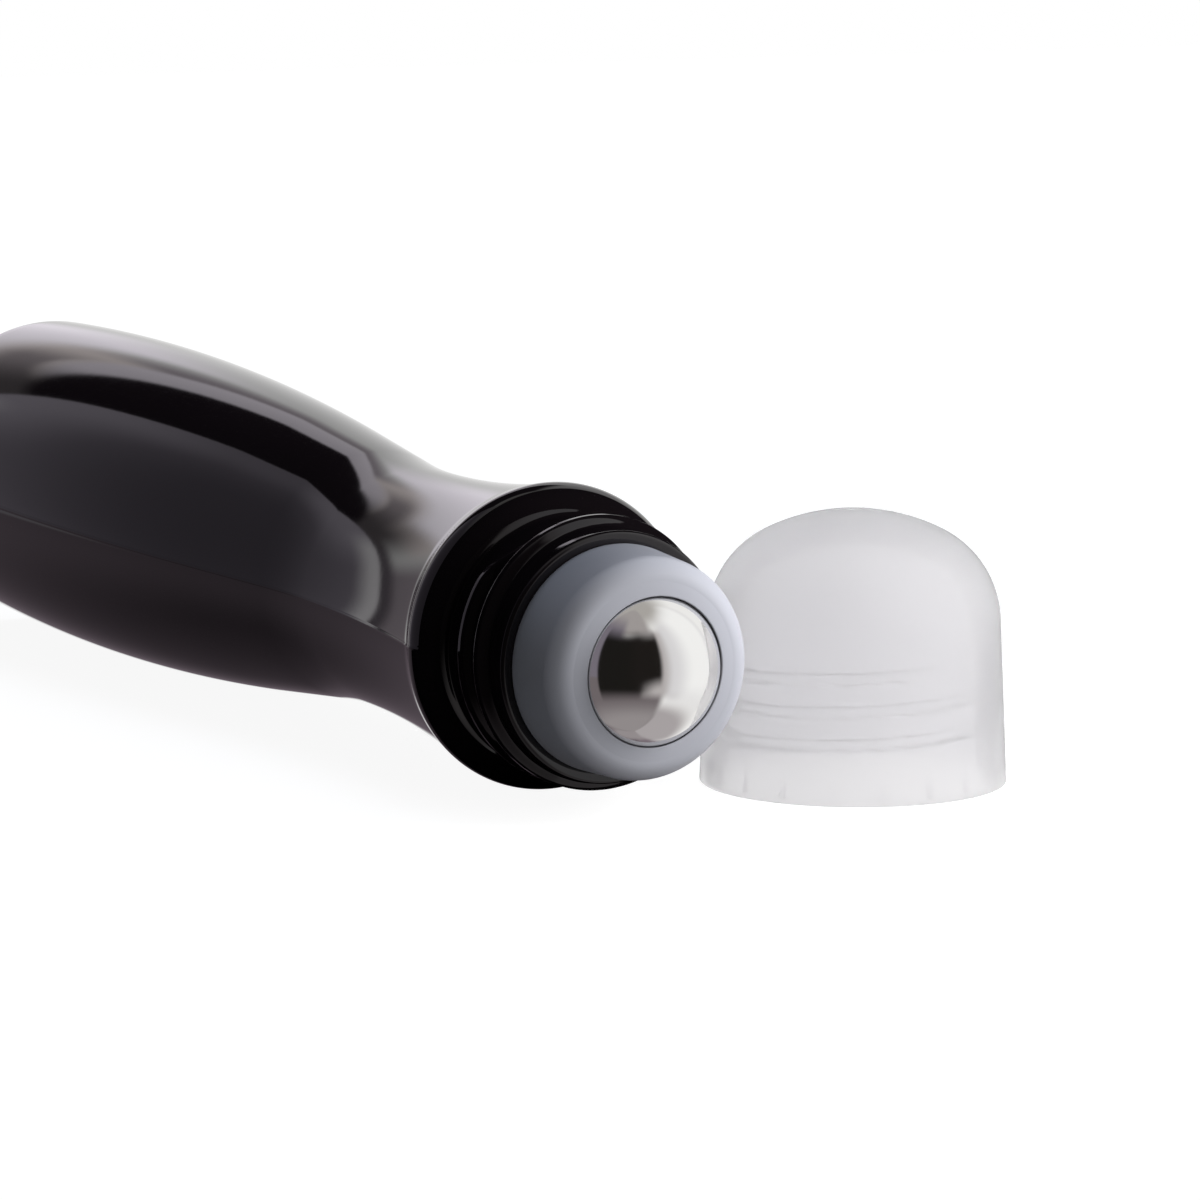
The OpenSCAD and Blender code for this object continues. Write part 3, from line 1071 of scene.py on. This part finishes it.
@dataclass
class BallHousing(TurnedPiece):
    """Housing that is pressed into the neck and holds the ball, measured from the rim."""

    name = "ball_seat"
    node = "ball_housing"
    body = Body.BOTTLE
    finish = HOUSING_SATIN
    closed = True

    fit: NeckFit
    height: float = 7.85
    draft: float = 0.3
    shoulder: float = 2.2
    face_rise: float = 0.3
    lip_hold: float = 0.8
    lip: float = 0.5
    lip_close: float = 0.06
    edge: float = 0.12
    plug_length: float = 8.6
    plug_gap: float = 0.1
    plug_bevel: float = 0.4
    plug_wall: float = 1.0
    cup_wall: float = 1.0
    seal_grip: float = 0.04
    seal_width: float = 0.6
    seal_count: int = 3
    seal_pitch: float = 2.2
    feed: float = 2.6
    slot: float = 0.7
    slot_count: int = 4

    @property
    def plug(self) -> float:
        """Radius of the plug between its sealing rings."""
        return self.fit.bore - self.plug_gap

    @property
    def lip_radius(self) -> float:
        """Radius of the opening in the lip."""
        return self.fit.ball - self.lip_hold

    @property
    def ball_up(self) -> float:
        """Height of the ball's middle over the rim."""
        return self.height - self.lip / 2 - math.sqrt(self.fit.socket**2 - self.lip_radius**2)

    def seals(self) -> list[Point]:
        """Outline of the sealing rings.

        Returns:
            The points, from the lowest ring to the highest.
        """
        ring = self.fit.bore + self.seal_grip
        middle = (self.seal_count - 1) / 2
        points: list[Point] = []
        for i in range(self.seal_count):
            low = (i - middle) * self.seal_pitch - (self.plug_length + self.seal_width) / 2
            high = low + self.seal_width
            points += [(self.plug, low), (ring, low), (ring, high), (self.plug, high)]
        return points

    def socket_arc(self, radius: float, start: float, least: float, steps: int) -> list[Point]:
        """Part of a sphere round the ball's middle, from a height down to a radius.

        Args:
            radius: Radius of the sphere.
            start: Height of the first point over the rim.
            least: Distance of the last point from the axis, under the ball.
            steps: Number of chords.

        Returns:
            The points from the first to the last.
        """
        begin = math.degrees(math.asin((start - self.ball_up) / radius))
        return arc((0.0, self.ball_up), radius, begin, -math.degrees(math.acos(least / radius)), steps)

    def outline(self) -> list[Point]:
        """Closed outline.

        Returns:
            The points from the foot of the plug round the outside, the socket and the cup.
        """
        plug, edge, housing = self.plug, self.edge, self.fit.housing
        skirt = plug - self.plug_wall
        middle = (housing - self.draft - self.shoulder, self.height - self.face_rise - self.shoulder)
        lip_middle = (self.lip_radius - self.lip_close + edge, self.height - edge)
        cup = self.fit.socket + self.cup_wall
        return without_doubles(
            [(skirt, -self.plug_length), (plug - self.plug_bevel, -self.plug_length)]
            + [(plug, self.plug_bevel - self.plug_length)]
            + self.seals()
            + [(plug, 0.0)]
            + arc((housing - edge, edge), edge, -90, 0, steps=4)
            + arc(middle, self.shoulder, 0, 90, steps=26)
            + arc(lip_middle, edge, 90, 180, steps=6)
            + self.socket_arc(self.fit.socket, lip_middle[1], self.feed, steps=48)
            + self.socket_arc(cup, -self.cup_wall, self.feed, steps=24)[::-1]
            + [(skirt, -self.cup_wall)]
        )

    def marks(self) -> list[Mark]:
        """Gives the feed slots.

        Returns:
            Their tree with its sizes.
        """
        sizes = {
            "Count": self.slot_count,
            "Radius": (self.feed + self.plug - self.plug_wall) / 2 - self.slot,
            "Slot Radius": self.slot,
            "Depth": self.plug_length,
            "Middle": self.ball_up - self.plug_length / 2,
        }
        return [(feed_slots_tree(), sizes)]


@dataclass
class RollerBall(TurnedPiece):
    """Polished ball."""

    name = "steel_ball"
    node = "roller_ball"
    body = Body.BALL
    finish = BALL_STEEL
    sharp = 90

    radius: float
    up: float

    def outline(self) -> list[Point]:
        """Half circle from the lowest point to the highest."""
        return arc((0.0, self.up), self.radius, -90, 90, steps=96)


@dataclass
class ScrewCap(TurnedPiece):
    """Translucent screw cap, measured up from its open end."""

    name = "screw_cap"
    node = "cap"
    body = Body.CAP
    finish = CAP_FROSTED
    sides = 240

    fit: NeckFit
    thread: Thread
    height: float
    draft: float = 0.7
    knuckle: float = 10.0
    crown: float = 19.5
    wall: float = 1.6
    mouth_height: float = 2.0
    mouth_wall: float = 0.8
    lead_in: float = 0.9
    edge: float = 0.15
    thread_up: float = 4.6
    thread_turns: float = 2.45
    thread_start: float = 212.0
    thread_row: float = 0.11
    rib_count: int = 18
    rib_width: float = 0.4
    rib_height: float = 1.6
    rib_depth: float = 0.5
    rib_root: float = 0.3

    def place(self, places: Places) -> Matrix:
        """Matrix from millimetres on the cap's axis to the row frame."""
        return places.on_cap()

    def outline(self) -> list[Point]:
        """Outline of the cap.

        Returns:
            The points from the middle of the crown inside, down to the mouth and up to the crown outside.
        """
        rim, bore, edge, wall = self.fit.collar, self.fit.skirt_bore, self.edge, self.wall
        mouth = rim - self.mouth_wall
        form = (rim - self.draft, self.height, self.knuckle, self.crown)
        skirt = self.thread_up + self.thread_turns * self.thread.pitch + self.thread.foot_width / 2
        lead_end = (bore, self.mouth_height + self.lead_in)
        inside = (
            arc((mouth + edge, edge), edge, 270, 180, steps=4)
            + [(mouth, self.mouth_height - self.lead_in)]
            + straight(lead_end, (bore, skirt), self.thread_row)
            + dome((bore, skirt), *(length - wall for length in form))
        )
        foot = arc((rim - edge, edge), edge, -90, 0, steps=4)
        return without_doubles(inside[::-1] + foot + dome((rim, edge), *form))

    def marks(self) -> list[Mark]:
        """Gives the thread and the ribs in the mouth.

        Returns:
            Their trees, each with its sizes.
        """
        depth = self.rib_depth + self.rib_root
        ribs = {
            "Count": self.rib_count,
            "Radius": self.fit.collar - self.mouth_wall - self.rib_depth + depth / 2,
            "Width": self.rib_width,
            "Rib Height": self.rib_height,
            "Depth": depth,
            "Middle": self.mouth_height - self.rib_height / 2,
        }
        wall = self.fit.skirt_bore
        thread = self.thread.mark(wall, self.thread_turns, self.thread_start, self.thread_up, inward=True)
        return [thread, (ribs_tree(), ribs)]


# Studio


@dataclass(frozen=True)
class Panel:
    """One soft-edged part of the room that gloss and polish mirror, by its directions in degrees.

    Attributes:
        colour: Colour of the panel.
        middle: Azimuth from which its sides are measured, or None for the side wall's curved edge.
        sides: Where it fades in and out around the object: outer and inner start, inner and outer end.
        heights: The same from its lower edge to its upper one, as elevations.
        slant: Degrees by which its lower edge rises for each degree of azimuth.
    """

    colour: Colour
    middle: float | None = 0.0
    sides: Span | None = None
    heights: Span | None = None
    slant: float = 0.0


# Soft foot of the room's side wall, as elevations, and softness of its edge, both in degrees
WALL_FOOT = (-9.4, -7.8)
WALL_EDGE = (-0.4, 0.4)

# Later panels lie over earlier ones
ROOM = (
    Panel((0.33, 0.30, 0.31), heights=(-99, -98, -66, -52)),
    Panel((0.44, 0.42, 0.40), heights=(48, 78, 98, 99)),
    Panel((0.44, 0.41, 0.42), 90, (-90, -70, 30, 50), (-99, -98, -56, -34)),
    Panel((0.38, 0.355, 0.35), 323, (-62, -48, 30, 50), (44, 54, 84, 94)),
    Panel((0.17, 0.147, 0.155), 300, (-80, -50, 65, 80), (-99, -98, 40, 54)),
    Panel((0.205, 0.166, 0.194), 190, (-65, -55, 45, 70), (-76, -62, *WALL_FOOT)),
    Panel((0.085, 0.068, 0.080), 190, (-50, -38, 50, 80), (-76, -62, -30, -11)),
    Panel((1.0, 1.0, 1.0), 150, (-40, -30, 12, 18), (-16, -13.5, -8, -4)),
    Panel((0.32, 0.295, 0.30), 300, (-80, -50, 65, 80), (-99, -98, -68, -34)),
    Panel((1.0, 0.90, 0.885), 174, (-14, -8, 10, 16), (10, 15, 34, 40)),
    Panel((1.58, 1.50, 1.62), 165, (-13, -5, 12, 18), (4, 11, 18, 22.5)),
    Panel((0.44, 0.39, 0.41), 180, (-14, -5, 8, 14), (20.0, 22.8, 24.4, 25.4)),
    Panel((1.02, 0.95, 1.04), 168, (-18, -11, 14, 17), (24.6, 26.4, 40, 50)),
    Panel((0.46, 0.41, 0.45), 160, (-40, -30, 2, 7), (20.0, 25.2, 25.5, 26.9)),
    Panel((0.19, 0.170, 0.205), None, (*WALL_EDGE, 110, 128), (*WALL_FOOT, 52, 80)),
    Panel((0.31, 0.28, 0.33), None, (*WALL_EDGE, 4, 22), (*WALL_FOOT, 40, 55)),
    Panel((0.50, 0.46, 0.53), None, (*WALL_EDGE, 3, 13), (8, 20, 30, 42)),
    Panel((1.0, 0.97, 1.0), None, (*WALL_EDGE, 1.2, 5.2), (*WALL_FOOT, 15, 22)),
    Panel((0.40, 0.35, 0.385), None, (-15, -8, *WALL_EDGE), (*WALL_FOOT, 7, 14)),
    Panel((0.15, 0.13, 0.15), None, (-3.4, -1.0, *WALL_EDGE), (*WALL_FOOT, 30, 40)),
    Panel((0.13, 0.115, 0.12), None, (-17, -3, *WALL_EDGE), (11, 20, 40, 50)),
    Panel((0.014, 0.010, 0.013), None, (-60, -45, *WALL_EDGE), (22.6, 24.2, 62, 66), slant=-0.33),
    Panel((0.50, 0.47, 0.47), 20, (-45, -35, 10, 30), (-40, -25, 45, 60)),
    Panel((0.76, 0.75, 0.77), 55, (-46, -28, 36, 44), (-50, -22, 46, 72)),
    Panel((1.0, 1.0, 1.0), 55, (-30, 5, 30, 44), (-45, -15, 50, 75)),
    Panel((0.012, 0.011, 0.010), 323, (-45.5, -41.5, 8, 40), (-42, -22, 38, 60)),
    Panel((0.014, 0.012, 0.011), 323, (-8, 16, 41, 49), (-34, -12, 38, 60), slant=0.2),
)


def emptied(owner: Material | World) -> Graph:
    """Gives a material or a world an empty node tree.

    Args:
        owner: The material or the world.

    Returns:
        The graph of its tree.
    """
    owner.use_nodes = True
    owner.node_tree.nodes.clear()
    return Graph(owner.node_tree)


def grey(tone: float) -> tuple[float, float, float, float]:
    """Grey, black or white of a tone, as a colour socket takes it."""
    return tone, tone, tone, 1.0


@dataclass
class Room:
    """What surrounds the object: white for the camera, and a room of panels in its reflections.

    Attributes:
        plain: Colour of the mirrored room where it has no panel.
        diffuse: Strength of the light that it throws on the object.
        through: Strength that shows through the see-through cap.
        edge: Azimuth of the side wall's edge in degrees, at its foot.
        edge_bend: Degrees by which the edge leans at its top.
        edge_heights: Elevations between which it leans.
    """

    plain: Colour = (0.95, 0.945, 0.94)
    diffuse: float = 0.08
    through: float = 0.975
    edge: float = 195.6
    edge_bend: float = 5.8
    edge_heights: tuple[float, float] = (2.0, 30.0)

    def reflections(self) -> NodeTree:
        """Makes the shader group that gives the mirrored room's colour by direction.

        Returns:
            The group.
        """
        tree = new_tree("mirrored_room", "ShaderNodeTree", {"Direction": "Vector"}, {"Colour": "Color"})
        graph = Graph(tree)
        direction = graph.add("NodeGroupInput").outputs["Direction"]
        parts = graph.add("ShaderNodeSeparateXYZ", {0: direction}).outputs
        turn = graph.maths("DEGREES", graph.maths("ARCTAN2", parts[1], parts[0]))
        lift = graph.maths("DEGREES", graph.maths("ARCSINE", parts[2]))
        curved = graph.ramp(lift, self.edge_heights, (self.edge, self.edge - self.edge_bend))
        colour: Any = (*self.plain, 1.0)
        for panel in ROOM:
            beside = graph.beside(turn, curved if panel.middle is None else panel.middle)
            mask: Any = 1.0
            if panel.heights:
                shift = graph.times(beside, panel.slant) if panel.slant else 0.0
                mask = graph.within(lift, panel.heights, shift)
            if panel.sides:
                mask = graph.times(mask, graph.within(beside, panel.sides))
            inputs = {0: mask, 6: colour, 7: (*panel.colour, 1.0)}
            colour = graph.add("ShaderNodeMix", inputs, data_type="RGBA").outputs[2]
        graph.add("NodeGroupOutput", {"Colour": colour})
        return graph.tree

    def build(self) -> World:
        """Makes the world.

        Returns:
            The scene's world.
        """
        world = bpy.data.worlds.new("studio_room")
        graph = emptied(world)
        direction = graph.add("ShaderNodeTexCoord").outputs["Generated"]
        mirrored = graph.add("ShaderNodeGroup", {"Direction": direction}, node_tree=self.reflections())
        ray = graph.add("ShaderNodeLightPath").outputs
        seen = graph.maths("MAXIMUM", ray["Is Camera Ray"], ray["Is Transmission Ray"])
        through = graph.ramp(ray["Is Transmission Ray"], (0.0, 1.0), (1.0, self.through))
        lights = ((grey(1.0), self.diffuse), (mirrored.outputs["Colour"], 1.0), (grey(1.0), through))
        plain, mirror, white = (
            graph.add("ShaderNodeBackground", {"Color": colour, "Strength": strength}).outputs[0]
            for colour, strength in lights
        )
        gloss = graph.add("ShaderNodeMixShader", {0: ray["Is Glossy Ray"], 1: plain, 2: mirror}).outputs[0]
        whole = graph.add("ShaderNodeMixShader", {0: seen, 1: gloss, 2: white}).outputs[0]
        graph.add("ShaderNodeOutputWorld", {"Surface": whole})
        world.cycles.sampling_method = "NONE"
        bpy.context.scene.world = world
        return world


@dataclass
class Floor:
    """Plain pale floor that keeps a light shadow.

    Attributes:
        half: Half of its side, in metres.
        glow: Strength of its white near the object.
        under: Strength of its white seen through the see-through cap, lowered to paint the shade inside the
            cap.
        shade: Tone of the part that takes the object's shadow.
        near: Distance in metres from which its white grows.
        far: Distance at which it is as white as the room.
        bounce: Tone of the light that it throws back on the object.
    """

    half: float = 1.2
    glow: float = 0.925
    under: float = 0.66
    shade: float = 0.24
    near: float = 0.12
    far: float = 0.5
    bounce: float = 0.30

    def build(self) -> Object:
        """Makes the floor.

        Returns:
            The floor's object.
        """
        mesh = bpy.data.meshes.new("floor")
        signs = ((-1, -1), (1, -1), (1, 1), (-1, 1))
        mesh.from_pydata([(x * self.half, y * self.half, 0) for x, y in signs], [], [(0, 1, 2, 3)])
        floor = new_object("floor", mesh)
        material = bpy.data.materials.new("floor_white")
        graph = emptied(material)
        ray = graph.add("ShaderNodeLightPath").outputs
        seen = graph.maths("MAXIMUM", ray["Is Camera Ray"], ray["Is Transmission Ray"])
        plain = graph.add("ShaderNodeBsdfDiffuse", {"Color": grey(self.bounce)}).outputs[0]
        place = graph.add("ShaderNodeTexCoord").outputs["Object"]
        away = graph.add("ShaderNodeVectorMath", {0: place}, operation="LENGTH").outputs["Value"]
        light = graph.ramp(away, (self.near, self.far), (self.glow, 1.0))
        # Seen through the see-through cap, the floor's white drops to a painted shade
        glow_and_cap_shade = graph.ramp(ray["Is Transmission Ray"], (0.0, 1.0), (light, self.under))
        glow = graph.add("ShaderNodeEmission", {"Color": grey(1.0), "Strength": glow_and_cap_shade}).outputs[0]
        shade = graph.add("ShaderNodeBsdfDiffuse", {"Color": grey(self.shade)}).outputs[0]
        white = graph.add("ShaderNodeAddShader", {0: glow, 1: shade}).outputs[0]
        whole = graph.add("ShaderNodeMixShader", {0: seen, 1: plain, 2: white}).outputs[0]
        graph.add("ShaderNodeOutputMaterial", {"Surface": whole})
        mesh.materials.append(material)
        floor.visible_glossy = False
        return floor


@dataclass
class Flag:
    """Black card bent round the neck, open towards the cap, that only reflections show.

    Attributes:
        radius: Radius of the card, in millimetres.
        back: Distance from the rim back to its rear edge above the bottle's middle.
        back_below: The same distance below it.
        below: Cosine of the turn from which a part of the card counts as below the middle.
        front: Distance from the rim back to its front edge.
        opening: Half angle in degrees of the gap towards the cap.
        tone: Tone of the card.
        steps: Number of its faces.
    """

    radius: float = 17.5
    back: float = 12.6
    back_below: float = 16.5
    below: float = 0.05
    front: float = 0.5
    opening: float = 38.0
    tone: float = 0.004
    steps: int = 72

    def build(self, places: Places) -> Object:
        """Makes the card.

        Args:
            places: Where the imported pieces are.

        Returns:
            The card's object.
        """
        start, end = 90 + self.opening, 90 + 360 - self.opening
        ring = arc((0.0, 0.0), self.radius, start, end, self.steps)
        rear = [self.back_below if x > self.below * self.radius else self.back for x, y in ring]
        edges = (rear, [self.front] * len(ring))
        corners = [(x, y, -back) for edge in edges for (x, y), back in zip(ring, edge)]
        faces = [(i, i + 1, i + 2 + self.steps, i + 1 + self.steps) for i in range(self.steps)]
        mesh = bpy.data.meshes.new("black_card")
        mesh.from_pydata(corners, [], faces)
        mesh.transform(places.on_bottle())
        card = new_object("black_card", mesh)
        material = bpy.data.materials.new("card_black")
        material.use_nodes = True
        shader = material.node_tree.nodes["Principled BSDF"].inputs
        shader["Base Color"].default_value = grey(self.tone)
        shader["Specular IOR Level"].default_value = 0.0
        mesh.materials.append(material)
        card.visible_camera = card.visible_diffuse = card.visible_transmission = card.visible_shadow = False
        return card


def aimed(name: str, data: Any, aim: Vector, turn: Point, distance: float) -> Object:
    """Links a lamp or a camera that looks at a point.

    Args:
        name: Name of the object.
        data: The lamp or the camera.
        aim: Point that it faces.
        turn: Azimuth from +X and elevation of its place, in degrees.
        distance: Distance from the aim, in metres.

    Returns:
        The object.
    """
    around, lift = map(math.radians, turn)
    back = Vector((math.cos(around) * math.cos(lift), math.sin(around) * math.cos(lift), math.sin(lift)))
    thing = new_object(name, data)
    thing.rotation_mode = "QUATERNION"
    thing.location = aim + back * distance
    thing.rotation_quaternion = back.to_track_quat("Z", "Y")
    return thing


@dataclass(frozen=True)
class Lamp:
    """Soft area lamp aimed at the object, which its reflections don't show.

    Attributes:
        name: Name of the lamp.
        turn: Azimuth from +X and elevation of its place, in degrees.
        distance: Distance from the aim, in metres.
        size: Side of the lamp, in metres.
        power: Power in watts.
        colour: Colour of its light.
    """

    name: str
    turn: Point
    distance: float
    size: float
    power: float
    colour: Colour = (1.0, 0.99, 0.98)

    def build(self, aim: Vector) -> Object:
        """Makes the lamp.

        Args:
            aim: Point that it faces.

        Returns:
            The lamp's object.
        """
        data = bpy.data.lights.new(self.name, "AREA")
        data.shape, data.size, data.energy, data.color = "SQUARE", self.size, self.power, self.colour
        lamp = aimed(self.name, data, aim, self.turn, self.distance)
        lamp.visible_camera = lamp.visible_glossy = lamp.visible_transmission = False
        return lamp


LAMPS = (
    Lamp("key_softbox", turn=(14, 20), distance=0.8, size=0.42, power=1.5),
    Lamp("near_softbox", turn=(50, 20), distance=0.06, size=0.04, power=0.04),
    Lamp("top_softbox", turn=(140, 72), distance=0.8, size=0.5, power=2.0, colour=(0.78, 0.86, 1.0)),
)


@dataclass
class View:
    """The photograph's camera.

    Attributes:
        turn: Azimuth from +X and elevation of its place, in degrees.
        distance: Distance from its aim, in metres.
        lens: Focal length, in millimetres.
        sensor: Width of its sensor, in millimetres.
        aim_right: Distance of its aim from the middle of the neck's rim, to the right.
        aim_up: The same distance upwards in the picture.
    """

    turn: Point = (-28.78, 8.58)
    distance: float = 0.5
    lens: float = 159.5
    sensor: float = 36.0
    aim_right: float = -1.38
    aim_up: float = 5.49

    def build(self, rim: Vector) -> Object:
        """Makes the camera.

        Args:
            rim: Middle of the neck's rim.

        Returns:
            The camera's object.
        """
        data = bpy.data.cameras.new("photo_camera")
        data.lens, data.sensor_width = self.lens, self.sensor
        camera = aimed("photo_camera", data, rim, self.turn, self.distance)
        camera.location += camera.rotation_quaternion @ Vector((self.aim_right, self.aim_up, 0.0)) * MM
        bpy.context.scene.camera = camera
        return camera


def main() -> None:
    """Builds every piece and the studio."""
    logging.basicConfig(level=logging.INFO, format="%(name)s: %(message)s")
    ball_low, ball_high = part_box("roller_ball")
    fit = NeckFit(ball=(ball_high.z - ball_low.z) / 2 / MM)
    housing = BallHousing(fit)
    places = Places.from_frame(housing.ball_up)
    skin = moulded_skin_group()
    pieces = (
        Bottle(fit, Thread()),
        housing,
        RollerBall(fit.ball, housing.ball_up),
        ScrewCap(fit, Thread(foot_width=1.35, crest_width=0.7), places.cap_height),
    )
    for piece in pieces:
        built = piece.build(places, skin)
        LOG.info("%s: %d faces in %s", built.name, len(built.data.polygons), piece.finish.slot.value)
    Room().build()
    Floor().build()
    Flag().build(places)
    for lamp in LAMPS:
        lamp.build(places.rim)
    View().build(places.rim)
    bpy.context.scene.view_settings.view_transform = "Standard"


if __name__ == "__main__":
    main()
